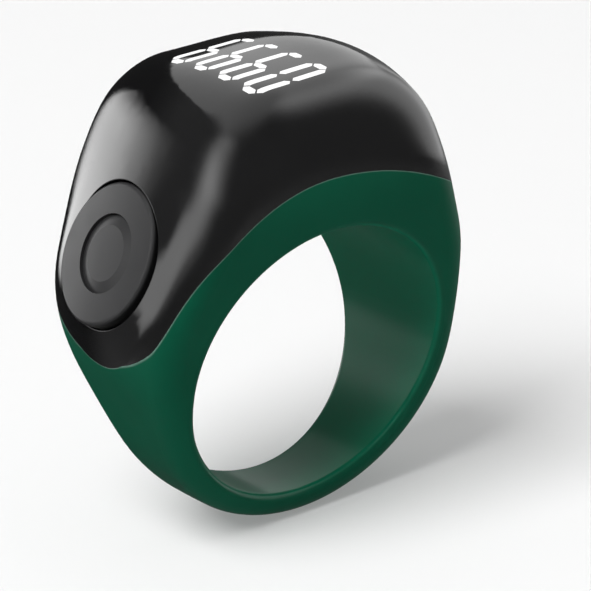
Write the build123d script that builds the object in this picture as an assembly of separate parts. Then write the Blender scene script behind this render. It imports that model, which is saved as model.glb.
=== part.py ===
"""Finger-ring tally counter.

A moulded band carries the finger bore. A glossy cover closes the head above it, hides the display
behind its crown and dips round the push button at the near end. The electronics sit between the two.

Frame in millimetres: origin on the bore axis, +Y along the bore, +Z up to the display,
-X towards the push button.
"""
from build123d import *
from functools import lru_cache
from math import acos, atan2, cos, hypot, pi, radians, sin, tan
import os

# Finger bore and the band round it
BORE_RADIUS = 10.0
BORE_EDGE = 0.4
BAND_RADIUS = 12.07
BAND_SHIFT = 0.33
BAND_CROWN = 0.45

# Side faces of band and head, which flare up to a waist and then lean in
BORE_HALF_WIDTH = 5.87
SIDE_FLARE = 15.64
WAIST_HEIGHT = 11.8
WAIST_RADIUS = 9.0
SIDE_LEAN = 11.2
RIDGE_RADIUS = 2.1

# Head outline: a flat top, a sloping flank at each end, a shoulder above it and a bulge below it
CROWN_SPAN = 9.5
LOFT_SPAN = 9.35
OUTLINE_STEPS = 36
TOP_HEIGHT = 20.2
TOP_CROWN = 1.0
NEAR_ANGLE = 28.45
NEAR_TWIST = 5.2
NEAR_REACH = 15.4
NEAR_CROWN = 2.3
NEAR_SHOULDER = 6.5
NEAR_BULGE = 8.8
NEAR_BULGE_HEIGHT = 4.65
FAR_ANGLE = 14.4
FAR_TWIST = 0.0
FAR_REACH = 14.22
FAR_CROWN = 2.2
FAR_SHOULDER = 6.35
FAR_BULGE = 10.8
FAR_BULGE_HEIGHT = 6.5

# Parting between band and cover
PARTING_RADIUS = 13.65
FAR_PARTING_RADIUS = 19.0
FAR_PARTING_SWEEP = 58.0
SKIRT_RADIUS = 5.1
SKIRT_HEIGHT = 7.1

# Cover
COVER_WALL = 1.2
CEILING_HEIGHT = 18.0
COLLAR_WIDTH = 1.2
BOND_BEAD = 0.4

# Push button, measured inwards from the flank along the button axis
BUTTON_RADIUS = 4.86
BUTTON_GAP = 0.1
BUTTON_ALONG = 2.57
BUTTON_RECESS = 0.05
BUTTON_EDGE = 0.3
BUTTON_WALL = 0.9
FLANGE_DEPTH = 1.75
FLANGE_THICKNESS = 0.4
FLANGE_WIDTH = 0.5
FLANGE_GAP = 0.05
FLANGE_SIDE_GAP = 0.15
GROOVE_INNER = 1.9
GROOVE_OUTER = 2.7
GROOVE_DEPTH = 0.25
STEM_RADIUS = 1.0
STEM_GAP = 0.04

# Switch tower in the band and the gasket on it
LEDGE_DEPTH = 2.75
TOWER_WALL = 0.45
GASKET_THICKNESS = 0.15
GASKET_INNER = 3.4

# Tact switch on the floor of its pocket
SWITCH_FLOOR_DEPTH = 4.6
SWITCH_SIZE = 3.6
SWITCH_CORNER = 0.4
SWITCH_ROOM = 0.2
SWITCH_BASE_HEIGHT = 0.93
SWITCH_BASE_FLOOR = 0.2
SWITCH_WELL_RADIUS = 1.45
SWITCH_COVER_THICKNESS = 0.15
SWITCH_COVER_FOLD = 0.5
PLUNGER_RADIUS = 0.85
PLUNGER_HOLE_GAP = 0.06
PLUNGER_FLANGE = 0.4
PLUNGER_FLANGE_THICKNESS = 0.33
PLUNGER_REST_GAP = 0.05
PLUNGER_PROUD = 0.5
DOME_RADIUS = 1.35
DOME_HEIGHT = 0.28
DOME_THICKNESS = 0.07

# Flexible circuits
FLEX_THICKNESS = 0.12
FLEX_BEND = 0.3
SWITCH_FLEX_WIDTH = 2.6
SWITCH_FLEX_RUN = 6.2
FLEX_SLOT_HEIGHT = 0.5
FLEX_SLOT_ROOM = 0.4

# Battery in its pocket above the bore
BATTERY_FLOOR_HEIGHT = 11.2
PAD_THICKNESS = 0.2
CELL_LENGTH = 12.0
CELL_WIDTH = 8.8
CELL_THICKNESS = 2.5
CELL_EDGE = 0.7
CELL_ROOM = 0.2
TAB_ROOM = 0.9
TAB_WIDTH = 1.5
TAB_THICKNESS = 0.12
TAB_SPACING = 4.0
TAB_REACH = 0.5

# Main board on four stake posts
BOARD_BOTTOM = 14.2
BOARD_THICKNESS = 0.8
BOARD_NEAR = 6.2
BOARD_FAR = 7.6
BOARD_WIDTH = 14.0
BOARD_CORNER = 1.6
POST_NEAR = 5.4
POST_FAR = 6.8
POST_SPACING = 12.4
POST_RADIUS = 0.7
STAKE_RADIUS = 0.35
STAKE_GAP = 0.05
STAKE_HEAD = 0.25

# Parts on the board: place on the board, then length, width and height
PROCESSOR_PLACE = (-2.6, -2.6)
PROCESSOR_SIZE = (4.0, 4.0, 0.75)
MEMORY_PLACE = (-2.6, 3.2)
MEMORY_SIZE = (3.0, 2.4, 0.55)
POWER_PLACE = (1.4, 4.2)
POWER_SIZE = (2.0, 2.0, 0.6)
CRYSTAL_PLACE = (1.2, -1.2)
CRYSTAL_SIZE = (2.0, 1.6, 0.5)
ANTENNA_PLACE = (6.6, 4.0)
ANTENNA_SIZE = (1.6, 3.2, 0.9)
CONNECTOR_PLACE = (3.9, 0.0)
CONNECTOR_SIZE = (1.6, 5.0, 0.7)
CHIP_EDGE = 0.12
PASSIVE_SIZE = (0.5, 1.0, 0.4)
PASSIVE_PITCH = 1.0
PASSIVE_COUNT = 4
PASSIVE_PLACE = (0.2, -5.2)

# Display under the ceiling
PANEL_NEAR = 3.9
PANEL_FAR = 5.6
PANEL_LENGTH = 12.8
PANEL_THICKNESS = 1.2
PANEL_LEDGE = 1.6
LEDGE_THICKNESS = 0.55
DISPLAY_BOND = 0.15
TRAY_PLATE = 0.45
TRAY_WALL = 0.35
TRAY_LIP = 0.5
TRAY_GAP = 0.08
TRAY_WINDOW_MARGIN = 1.6
TRAY_LEG = 0.9
DISPLAY_FLEX_WIDTH = 4.4
DISPLAY_FLEX_LOOP = 1.4

# Charging contacts and dock magnets, upright in the band
CONTACT_PLACE = 5.15
CONTACT_SPACING = 10.0
CONTACT_RADIUS = 0.8
CONTACT_SHANK = 0.45
CONTACT_HEAD_TOP = 10.6
CONTACT_RECESS = 0.06
MAGNET_PLACE = 5.5
MAGNET_SPACING = 5.4
MAGNET_RADIUS = 0.85
MAGNET_BOTTOM = 9.9
MAGNET_HEIGHT = 2.0
SEAT_GAP = 0.02

# Coin motor sunk into the band at the far end
MOTOR_ANGLE = 40.0
MOTOR_FLOOR = 12.3
MOTOR_RADIUS = 2.6
MOTOR_HEIGHT = 2.0
MOTOR_ROOM = 0.1
CAN_WALL = 0.15
MOTOR_BASE = 0.2
MOTOR_SHAFT_RADIUS = 0.3
MOTOR_BORE_GAP = 0.04
ROTOR_RADIUS = 2.25
ROTOR_THICKNESS = 0.4
ROTOR_LIFT = 0.62
WEIGHT_INNER = 1.1
WEIGHT_THICKNESS = 0.4
MAGNET_RING_INNER = 0.8
MAGNET_RING_OUTER = 2.2
MAGNET_RING_THICKNESS = 0.4
MOTOR_FLEX_WIDTH = 1.8
MOTOR_FLEX_RUN = 2.5

# How far a cutting tool runs past what it cuts, and the reach that clears the whole part
OVERRUN = 1.0
CLEAR = 40.0

FRONT = Plane(origin=(0, 0, 0), x_dir=(1, 0, 0), z_dir=(0, -1, 0))
SIDE_FACE_SHARE = 0.7


def flank_circles(side, angle, reach, shoulder, bulge, bulge_height, top):
    """Bulge and shoulder circles that a sloping flank touches, as (x, z, radius)."""
    across = side * cos(radians(angle))
    up = sin(radians(angle))
    bulge_x = (reach - bulge - up * bulge_height) / across
    shoulder_z = top - shoulder
    shoulder_x = (reach - shoulder - up * shoulder_z) / across
    return (bulge_x, bulge_height, bulge), (shoulder_x, shoulder_z, shoulder)


def outline_circles(y, inset):
    """The five circles whose belt is the outline of the ring at the given place along the bore."""
    share = (y / CROWN_SPAN) ** 2
    top = TOP_HEIGHT - share * TOP_CROWN
    near_bulge, near_shoulder = flank_circles(
        -1, NEAR_ANGLE - share * NEAR_TWIST, NEAR_REACH - share * NEAR_CROWN,
        NEAR_SHOULDER, NEAR_BULGE, NEAR_BULGE_HEIGHT, top)
    far_bulge, far_shoulder = flank_circles(
        1, FAR_ANGLE - share * FAR_TWIST, FAR_REACH - share * FAR_CROWN,
        FAR_SHOULDER, FAR_BULGE, FAR_BULGE_HEIGHT, top)
    band = (BAND_SHIFT, 0, BAND_RADIUS - share * BAND_CROWN)
    circles = (near_shoulder, near_bulge, band, far_bulge, far_shoulder)
    return [(x, z, radius - inset) for x, z, radius in circles]


def on_circle(circle, angle):
    """Point of a circle at an angle in radians."""
    x, z, radius = circle
    return (x + radius * cos(angle), z + radius * sin(angle))


def belt(circles):
    """Face inside a smooth curve along the tangent belt of circles listed anticlockwise."""
    normals = []
    for here, after in zip(circles, circles[1:] + circles[:1]):
        run = hypot(after[0] - here[0], after[1] - here[1])
        heading = atan2(after[1] - here[1], after[0] - here[0])
        normals.append(heading - acos((here[2] - after[2]) / run))
    edges = []
    for index, circle in enumerate(circles):
        start = normals[index - 1]
        end = normals[index]
        while end < start:
            end += 2 * pi
        following = circles[(index + 1) % len(circles)]
        middle = (start + end) / 2
        edges.append(ThreePointArc(on_circle(circle, start), on_circle(circle, middle), on_circle(circle, end)))
        edges.append(Line(on_circle(circle, end), on_circle(following, end)))
    track = Wire(edges)
    curve = Spline(*[track @ (step / OUTLINE_STEPS) for step in range(OUTLINE_STEPS)], periodic=True)
    return make_face([curve.trim(0, 1 / 2), curve.trim(1 / 2, 1)])


def side_half_width(z):
    """Half width of the flared side faces at a height."""
    return BORE_HALF_WIDTH + z * tan(radians(SIDE_FLARE))


def ring_form(inset):
    """Whole outer form of the ring, or the same form drawn in by an inset."""
    sections = []
    for y in (-LOFT_SPAN, 0, LOFT_SPAN):
        sections.append(FRONT.offset(-y) * belt(outline_circles(y, inset)))
    body = loft(sections)
    low = -BAND_RADIUS - OVERRUN
    high = TOP_HEIGHT + OVERRUN
    waist = side_half_width(WAIST_HEIGHT) - inset
    foot = side_half_width(low) - inset
    crest = waist - (high - WAIST_HEIGHT) * tan(radians(SIDE_LEAN))
    corners = [(-foot, low), (foot, low), (waist, WAIST_HEIGHT), (crest, high), (-crest, high), (-waist, WAIST_HEIGHT)]
    profile = make_face(Polyline(*corners, close=True))
    profile = fillet(profile.vertices().group_by(Axis.Y)[1], WAIST_RADIUS)
    body = body & extrude(Plane.YZ * profile, amount=CLEAR, both=True)
    sides = [face for face in body.faces() if abs(face.normal_at().Y) > SIDE_FACE_SHARE]
    ridges = [edge for face in sides for edge in face.edges() if edge.geom_type != GeomType.LINE]
    return fillet(ridges, RIDGE_RADIUS - inset)


def along_bore(radius):
    """Long cylinder on the bore axis."""
    return FRONT * Cylinder(radius, CLEAR + CLEAR)


def slab(low, high):
    """Everything between two heights."""
    return Pos(0, 0, (low + high) / 2) * Box(CLEAR + CLEAR, CLEAR + CLEAR, high - low)


@lru_cache(maxsize=None)
def below_parting(lift):
    """Everything below the parting surface, or below the same surface raised by a lift."""
    near = CenterArc((0, 0), PARTING_RADIUS + lift, 90, 90)
    far_centre = (0, PARTING_RADIUS - FAR_PARTING_RADIUS)
    far = CenterArc(far_centre, FAR_PARTING_RADIUS + lift, 90 - FAR_PARTING_SWEEP, FAR_PARTING_SWEEP)
    right = far @ 0
    left = near @ 1
    base = Polyline(left, (left.X, -CLEAR), (right.X, -CLEAR), right)
    return extrude(FRONT * make_face([far, near, base]), amount=CLEAR, both=True)


def button_plane():
    """Plane on the near flank at the button's centre, facing outwards."""
    angle = radians(NEAR_ANGLE)
    outward = Vector(-cos(angle), 0, sin(angle))
    upward = Vector(sin(angle), 0, cos(angle))
    centre = outward * NEAR_REACH + upward * BUTTON_ALONG
    return Plane(origin=centre, x_dir=(0, -1, 0), z_dir=outward)


def button_rod(radius, start, end):
    """Cylinder on the button axis between two depths below the flank."""
    return button_plane() * Pos(0, 0, -(start + end) / 2) * Cylinder(radius, end - start)


def button_block(length, width, start, end, corner=0):
    """Rounded block on the button axis between two depths below the flank."""
    shape = RectangleRounded(length, width, corner) if corner else Rectangle(length, width)
    return button_plane() * Pos(0, 0, -end) * extrude(shape, amount=end - start)


def motor_plane():
    """Plane on the floor of the motor's pocket, facing outwards from the bore."""
    angle = radians(MOTOR_ANGLE)
    outward = Vector(sin(angle), 0, cos(angle))
    return Plane(origin=outward * MOTOR_FLOOR, x_dir=(0, 1, 0), z_dir=outward)


def motor_rod(radius, start, end):
    """Cylinder on the motor axis between two heights above the pocket floor."""
    return motor_plane() * Pos(0, 0, (start + end) / 2) * Cylinder(radius, end - start)


def upright(radius, x, y, low, high):
    """Upright cylinder between two heights."""
    return Pos(x, y, (low + high) / 2) * Cylinder(radius, high - low)


def block(x_low, x_high, width, z_low, z_high):
    """Box centred along the bore, between two places across it and two heights."""
    return Pos((x_low + x_high) / 2, 0, (z_low + z_high) / 2) * Box(x_high - x_low, width, z_high - z_low)


def ribbon(points, width):
    """Flexible circuit bent along points given across the bore and up."""
    path = FilletPolyline(*points, radius=FLEX_BEND)
    return extrude(FRONT * trace(path, line_width=FLEX_THICKNESS), amount=width / 2, both=True)


def post_places():
    """Centres of the four stake posts."""
    return [(x, y) for x in (-POST_NEAR, POST_FAR) for y in (-POST_SPACING / 2, POST_SPACING / 2)]


@lru_cache(maxsize=None)
def skirt():
    """Round tongue of the cover that reaches down below the button."""
    disc = Plane.YZ * Pos(0, SKIRT_HEIGHT) * Circle(SKIRT_RADIUS)
    tongue = extrude(disc, amount=-CLEAR)
    return (ring_form(0) - ring_form(COVER_WALL)) & tongue


def flange_room():
    """Space under the cover in which the button's flange travels."""
    radius = BUTTON_RADIUS + FLANGE_WIDTH + FLANGE_SIDE_GAP
    return button_rod(radius, FLANGE_DEPTH - FLANGE_GAP, LEDGE_DEPTH)


def top_cover():
    """Glossy cover: a shell with a flat ceiling, a collar round the button and a round skirt."""
    cavity = ring_form(COVER_WALL) & slab(0, CEILING_HEIGHT)
    collar_radius = BUTTON_RADIUS + BUTTON_GAP + COLLAR_WIDTH
    collar = button_rod(collar_radius, FLANGE_DEPTH / 2, FLANGE_DEPTH - FLANGE_GAP) & ring_form(0)
    shell = ring_form(0) - cavity + collar - below_parting(0) + skirt()
    shell = shell - button_rod(BUTTON_RADIUS + BUTTON_GAP, -OVERRUN, LEDGE_DEPTH)
    return shell - flange_room()


def ring_band():
    """Band with the finger bore, the battery pocket, the switch tower and the motor pocket."""
    body = (ring_form(0) & below_parting(0)) - along_bore(BORE_RADIUS)
    rims = [edge for face in body.faces() if face.geom_type == GeomType.CYLINDER
            for edge in face.edges() if abs(face.radius - BORE_RADIUS) < BORE_EDGE
            and edge.geom_type != GeomType.LINE]
    body = fillet(rims, BORE_EDGE)
    tower_radius = BUTTON_RADIUS + FLANGE_WIDTH + FLANGE_SIDE_GAP + TOWER_WALL
    tower = button_rod(tower_radius, LEDGE_DEPTH, SWITCH_FLOOR_DEPTH)
    inside = ring_form(COVER_WALL + BOND_BEAD) - along_bore(BORE_RADIUS + COVER_WALL)
    posts = [upright(POST_RADIUS, x, y, BATTERY_FLOOR_HEIGHT, BOARD_BOTTOM) for x, y in post_places()]
    stake_top = BOARD_BOTTOM + BOARD_THICKNESS + STAKE_HEAD
    stakes = [upright(STAKE_RADIUS, x, y, BOARD_BOTTOM, stake_top) for x, y in post_places()]
    body = body - skirt()
    body = body + (tower & inside) + posts + stakes
    pocket_half = CELL_WIDTH / 2 + CELL_ROOM
    pocket_width = CELL_LENGTH + 2 * TAB_ROOM
    body = body - block(-pocket_half, pocket_half, pocket_width, BATTERY_FLOOR_HEIGHT, TOP_HEIGHT)
    room = SWITCH_SIZE + 2 * SWITCH_ROOM
    body = body - flange_room()
    body = body - button_block(room, room, LEDGE_DEPTH - OVERRUN, SWITCH_FLOOR_DEPTH, SWITCH_CORNER)
    slot_length = SWITCH_FLEX_RUN + OVERRUN
    slot = Pos(0, slot_length / 2, 0) * Rectangle(SWITCH_FLEX_WIDTH + FLEX_SLOT_ROOM, slot_length)
    body = body - button_plane() * Pos(0, 0, -SWITCH_FLOOR_DEPTH) * extrude(slot, amount=FLEX_SLOT_HEIGHT)
    body = body - motor_rod(MOTOR_RADIUS + MOTOR_ROOM, 0, MOTOR_HEIGHT + OVERRUN)
    for y in (-CONTACT_SPACING / 2, CONTACT_SPACING / 2):
        body = body - upright(CONTACT_RADIUS + SEAT_GAP, -CONTACT_PLACE, y, 0, CONTACT_HEAD_TOP)
        body = body - upright(CONTACT_SHANK + SEAT_GAP, -CONTACT_PLACE, y, 0, BOARD_BOTTOM)
    for y in (-MAGNET_SPACING / 2, MAGNET_SPACING / 2):
        body = body - upright(MAGNET_RADIUS + SEAT_GAP, -MAGNET_PLACE, y, MAGNET_BOTTOM, BOARD_BOTTOM)
    return body


def cover_bond():
    """Adhesive bead in the corner between the cover's wall and the band's saddle."""
    bead = (ring_form(COVER_WALL) & below_parting(BOND_BEAD)) - below_parting(0)
    bead = bead - ring_form(COVER_WALL + BOND_BEAD)
    tower_radius = BUTTON_RADIUS + FLANGE_WIDTH + FLANGE_SIDE_GAP + TOWER_WALL
    return bead - button_rod(tower_radius + BUTTON_GAP, 0, SWITCH_FLOOR_DEPTH)


def button_cap():
    """Round push button with a flat face, a ring groove, a retaining flange and a stem."""
    plane = button_plane()
    flange_bottom = FLANGE_DEPTH + FLANGE_THICKNESS
    cap = button_rod(BUTTON_RADIUS, BUTTON_RECESS, flange_bottom)
    rim = cap.edges().group_by(Axis(plane.origin, plane.z_dir))[-1]
    cap = fillet(rim, BUTTON_EDGE)
    cap = cap + button_rod(BUTTON_RADIUS + FLANGE_WIDTH, FLANGE_DEPTH, flange_bottom)
    groove_bottom = BUTTON_RECESS + GROOVE_DEPTH
    corners = [(GROOVE_INNER, -BUTTON_RECESS), (GROOVE_OUTER, -BUTTON_RECESS), (GROOVE_OUTER, -groove_bottom)]
    groove = revolve(Plane.XZ * make_face(Polyline(*corners, close=True)), Axis.Z)
    cap = cap - plane * groove
    hollow_top = groove_bottom + BUTTON_WALL
    cap = cap - button_rod(BUTTON_RADIUS - BUTTON_WALL, hollow_top, flange_bottom)
    return cap + button_rod(STEM_RADIUS, groove_bottom, plunger_top_depth() - STEM_GAP)


def button_gasket():
    """Flat silicone ring on the tower's ledge, which seals and cushions the button."""
    outer = BUTTON_RADIUS + FLANGE_WIDTH
    start = LEDGE_DEPTH - GASKET_THICKNESS
    return button_rod(outer, start, LEDGE_DEPTH) - button_rod(GASKET_INNER, start, LEDGE_DEPTH)


def switch_base_bottom():
    """Depth of the switch's underside, which lies on its flexible circuit."""
    return SWITCH_FLOOR_DEPTH - FLEX_THICKNESS


def switch_base_top():
    """Depth of the switch's upper rim."""
    return switch_base_bottom() - SWITCH_BASE_HEIGHT


def plunger_top_depth():
    """Depth of the plunger's pressed face."""
    return switch_base_top() - SWITCH_COVER_THICKNESS - PLUNGER_PROUD


def switch_base():
    """Moulded base of the switch with a round well."""
    body = button_block(SWITCH_SIZE, SWITCH_SIZE, switch_base_top(), switch_base_bottom(), SWITCH_CORNER)
    return body - button_rod(SWITCH_WELL_RADIUS, switch_base_top(), switch_base_bottom() - SWITCH_BASE_FLOOR)


def switch_cover():
    """Folded steel cover of the switch, with two side tabs and a hole for the plunger."""
    top = switch_base_top() - SWITCH_COVER_THICKNESS
    plate = button_block(SWITCH_SIZE, SWITCH_SIZE, top, switch_base_top(), SWITCH_CORNER)
    tab_place = SWITCH_SIZE / 2 + SWITCH_COVER_THICKNESS / 2
    tab_width = SWITCH_SIZE - 2 * SWITCH_CORNER
    for side in (-1, 1):
        tab = Pos(side * tab_place, 0) * Rectangle(SWITCH_COVER_THICKNESS, tab_width)
        drop = SWITCH_COVER_THICKNESS + SWITCH_COVER_FOLD
        plate = plate + button_plane() * Pos(0, 0, -top) * extrude(tab, amount=-drop)
    return plate - button_rod(PLUNGER_RADIUS + PLUNGER_HOLE_GAP, top, switch_base_top())


def switch_plunger():
    """Plunger of the switch, kept under the steel cover by its flange."""
    shoulder = switch_base_top() + PLUNGER_REST_GAP
    shank = button_rod(PLUNGER_RADIUS, plunger_top_depth(), shoulder)
    return shank + button_rod(PLUNGER_RADIUS + PLUNGER_FLANGE, shoulder, shoulder + PLUNGER_FLANGE_THICKNESS)


def switch_dome():
    """Snap dome on the floor of the switch's well."""
    radius = (DOME_RADIUS ** 2 + DOME_HEIGHT ** 2) / (2 * DOME_HEIGHT)
    seat = switch_base_bottom() - SWITCH_BASE_FLOOR
    centre = button_plane() * Pos(0, 0, -seat - radius + DOME_HEIGHT)
    shell = centre * (Sphere(radius) - Sphere(radius - DOME_THICKNESS))
    return shell & button_rod(DOME_RADIUS, seat - DOME_HEIGHT, seat)


def switch_flex():
    """Flexible circuit from under the switch, along its slot and up to the board."""
    plane = button_plane()
    depth = SWITCH_FLOOR_DEPTH - FLEX_THICKNESS / 2
    start = plane.from_local_coords((0, -SWITCH_SIZE / 2, -depth))
    turn = plane.from_local_coords((0, SWITCH_FLEX_RUN, -depth))
    points = [(start.X, start.Z), (turn.X, turn.Z), (turn.X, BOARD_BOTTOM)]
    return ribbon(points, SWITCH_FLEX_WIDTH)


def battery_pad():
    """Adhesive foam pad under the cell."""
    top = BATTERY_FLOOR_HEIGHT + PAD_THICKNESS
    return block(-CELL_WIDTH / 2, CELL_WIDTH / 2, CELL_LENGTH, BATTERY_FLOOR_HEIGHT, top)


def cell_bottom():
    """Height of the cell's underside."""
    return BATTERY_FLOOR_HEIGHT + PAD_THICKNESS


def battery_cell():
    """Pouch cell with soft long edges."""
    top = cell_bottom() + CELL_THICKNESS
    cell = block(-CELL_WIDTH / 2, CELL_WIDTH / 2, CELL_LENGTH, cell_bottom(), top)
    return fillet(cell.edges().filter_by(Axis.Y), CELL_EDGE)


def battery_tabs():
    """Two nickel tabs from the end of the cell up to the board."""
    end = CELL_LENGTH / 2
    middle = cell_bottom() + CELL_THICKNESS / 2
    bend = TAB_THICKNESS + TAB_THICKNESS
    path = FilletPolyline((end, middle), (end + TAB_REACH, middle), (end + TAB_REACH, BOARD_BOTTOM), radius=bend)
    strip = extrude(Plane.YZ * trace(path, line_width=TAB_THICKNESS), amount=TAB_WIDTH / 2, both=True)
    return [Pos(x, 0, 0) * strip for x in (-TAB_SPACING / 2, TAB_SPACING / 2)]


def main_board():
    """Rigid board with rounded corners and four stake holes."""
    length = BOARD_NEAR + BOARD_FAR
    shape = Pos((BOARD_FAR - BOARD_NEAR) / 2, 0) * RectangleRounded(length, BOARD_WIDTH, BOARD_CORNER)
    for x, y in post_places():
        shape = shape - Pos(x, y) * Circle(STAKE_RADIUS + STAKE_GAP)
    return Pos(0, 0, BOARD_BOTTOM) * extrude(shape, amount=BOARD_THICKNESS)


def chip(place, size, edge=CHIP_EDGE):
    """Component that stands on the board."""
    length, width, height = size
    x, y = place
    body = Pos(x, y, BOARD_BOTTOM + BOARD_THICKNESS + height / 2) * Box(length, width, height)
    return chamfer(body.faces().sort_by(Axis.Z)[-1].edges(), edge)


def board_passives():
    """Row of small capacitors."""
    x, y = PASSIVE_PLACE
    return [chip((x + index * PASSIVE_PITCH, y), PASSIVE_SIZE, CHIP_EDGE / 2) for index in range(PASSIVE_COUNT)]


def panel_top():
    """Height of the display glass."""
    return CEILING_HEIGHT - DISPLAY_BOND


def panel_bottom():
    """Height of the display's back."""
    return panel_top() - PANEL_THICKNESS


def display_panel():
    """Display glass with a thinner ledge for its flexible circuit."""
    panel = block(-PANEL_NEAR, PANEL_FAR, PANEL_LENGTH, panel_bottom(), panel_top())
    ledge_top = panel_bottom() + LEDGE_THICKNESS
    return panel - block(PANEL_FAR - PANEL_LEDGE, PANEL_FAR, PANEL_LENGTH, ledge_top, panel_top())


def display_bond():
    """Clear adhesive between the display glass and the cover's ceiling."""
    return block(-PANEL_NEAR, PANEL_FAR - PANEL_LEDGE, PANEL_LENGTH, panel_top(), CEILING_HEIGHT)


def display_tray():
    """Moulded tray that holds the display and stands on the board by four legs."""
    near = PANEL_NEAR + TRAY_GAP + TRAY_WALL
    far = PANEL_FAR + TRAY_GAP
    width = PANEL_LENGTH + 2 * (TRAY_GAP + TRAY_WALL)
    bottom = panel_bottom() - TRAY_PLATE
    tray = block(-near, far, width, bottom, panel_bottom() + TRAY_LIP)
    tray = tray - block(-PANEL_NEAR - TRAY_GAP, far, width - 2 * TRAY_WALL, panel_bottom(), TOP_HEIGHT)
    window = width - 2 * TRAY_WINDOW_MARGIN
    tray = tray - block(TRAY_WINDOW_MARGIN - near, far - TRAY_WINDOW_MARGIN, window, bottom, panel_bottom())
    board_top = BOARD_BOTTOM + BOARD_THICKNESS
    for x in (-near + TRAY_LEG / 2, far - TRAY_LEG / 2):
        for y in (-(width - TRAY_LEG) / 2, (width - TRAY_LEG) / 2):
            leg = Pos(x, y, (board_top + bottom) / 2) * Box(TRAY_LEG, TRAY_LEG, bottom - board_top)
            tray = tray + leg
    return tray


def display_flex():
    """Flexible circuit that loops from the display's ledge down to the connector on the board."""
    upper = panel_bottom() + LEDGE_THICKNESS + FLEX_THICKNESS / 2
    lower = BOARD_BOTTOM + BOARD_THICKNESS + CONNECTOR_SIZE[2] + FLEX_THICKNESS / 2
    start = PANEL_FAR - PANEL_LEDGE / 2
    outer = PANEL_FAR + DISPLAY_FLEX_LOOP
    connector = CONNECTOR_PLACE[0]
    return ribbon([(start, upper), (outer, upper), (outer, lower), (connector, lower)], DISPLAY_FLEX_WIDTH)


def charge_contacts():
    """Two stepped pins whose heads lie just below the bore's surface."""
    pins = []
    for y in (-CONTACT_SPACING / 2, CONTACT_SPACING / 2):
        pin = upright(CONTACT_RADIUS, -CONTACT_PLACE, y, 0, CONTACT_HEAD_TOP)
        pin = pin + upright(CONTACT_SHANK, -CONTACT_PLACE, y, 0, BOARD_BOTTOM)
        pins.append(pin - along_bore(BORE_RADIUS + CONTACT_RECESS))
    return pins


def dock_magnets():
    """Two rod magnets that hold the ring on its charging dock."""
    top = MAGNET_BOTTOM + MAGNET_HEIGHT
    places = (-MAGNET_SPACING / 2, MAGNET_SPACING / 2)
    return [upright(MAGNET_RADIUS, -MAGNET_PLACE, y, MAGNET_BOTTOM, top) for y in places]


def motor_can():
    """Drawn steel can of the coin motor."""
    rim = MOTOR_HEIGHT - MOTOR_BASE
    return motor_rod(MOTOR_RADIUS, 0, rim) - motor_rod(MOTOR_RADIUS - CAN_WALL, CAN_WALL, rim)


def motor_base():
    """Base plate that closes the can."""
    return motor_rod(MOTOR_RADIUS, MOTOR_HEIGHT - MOTOR_BASE, MOTOR_HEIGHT)


def motor_magnet():
    """Ring magnet on the base plate."""
    top = MOTOR_HEIGHT - MOTOR_BASE
    bottom = top - MAGNET_RING_THICKNESS
    return motor_rod(MAGNET_RING_OUTER, bottom, top) - motor_rod(MAGNET_RING_INNER, bottom, top)


def motor_shaft():
    """Fixed shaft between the can's floor and the base plate."""
    return motor_rod(MOTOR_SHAFT_RADIUS, CAN_WALL, MOTOR_HEIGHT - MOTOR_BASE)


def motor_rotor():
    """Rotor disc that turns on the fixed shaft."""
    top = ROTOR_LIFT + ROTOR_THICKNESS
    bore = motor_rod(MOTOR_SHAFT_RADIUS + MOTOR_BORE_GAP, ROTOR_LIFT, top)
    return motor_rod(ROTOR_RADIUS, ROTOR_LIFT, top) - bore


def motor_weight():
    """Half ring of heavy metal under the rotor, which makes it shake."""
    bottom = ROTOR_LIFT - WEIGHT_THICKNESS
    ring = motor_rod(ROTOR_RADIUS, bottom, ROTOR_LIFT) - motor_rod(WEIGHT_INNER, bottom, ROTOR_LIFT)
    half = Pos(0, ROTOR_RADIUS, (bottom + ROTOR_LIFT) / 2)
    keep = Box(2 * ROTOR_RADIUS, 2 * ROTOR_RADIUS, WEIGHT_THICKNESS)
    return ring & motor_plane() * half * keep


def motor_flex():
    """Flexible circuit from the motor's base plate up to the board."""
    plane = motor_plane()
    height = MOTOR_HEIGHT + FLEX_THICKNESS / 2
    start = plane.from_local_coords((0, 0, height))
    turn = plane.from_local_coords((0, MOTOR_FLEX_RUN, height))
    if turn.Z < start.Z:
        turn = plane.from_local_coords((0, -MOTOR_FLEX_RUN, height))
    return ribbon([(start.X, start.Z), (turn.X, turn.Z), (turn.X, BOARD_BOTTOM)], MOTOR_FLEX_WIDTH)


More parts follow.
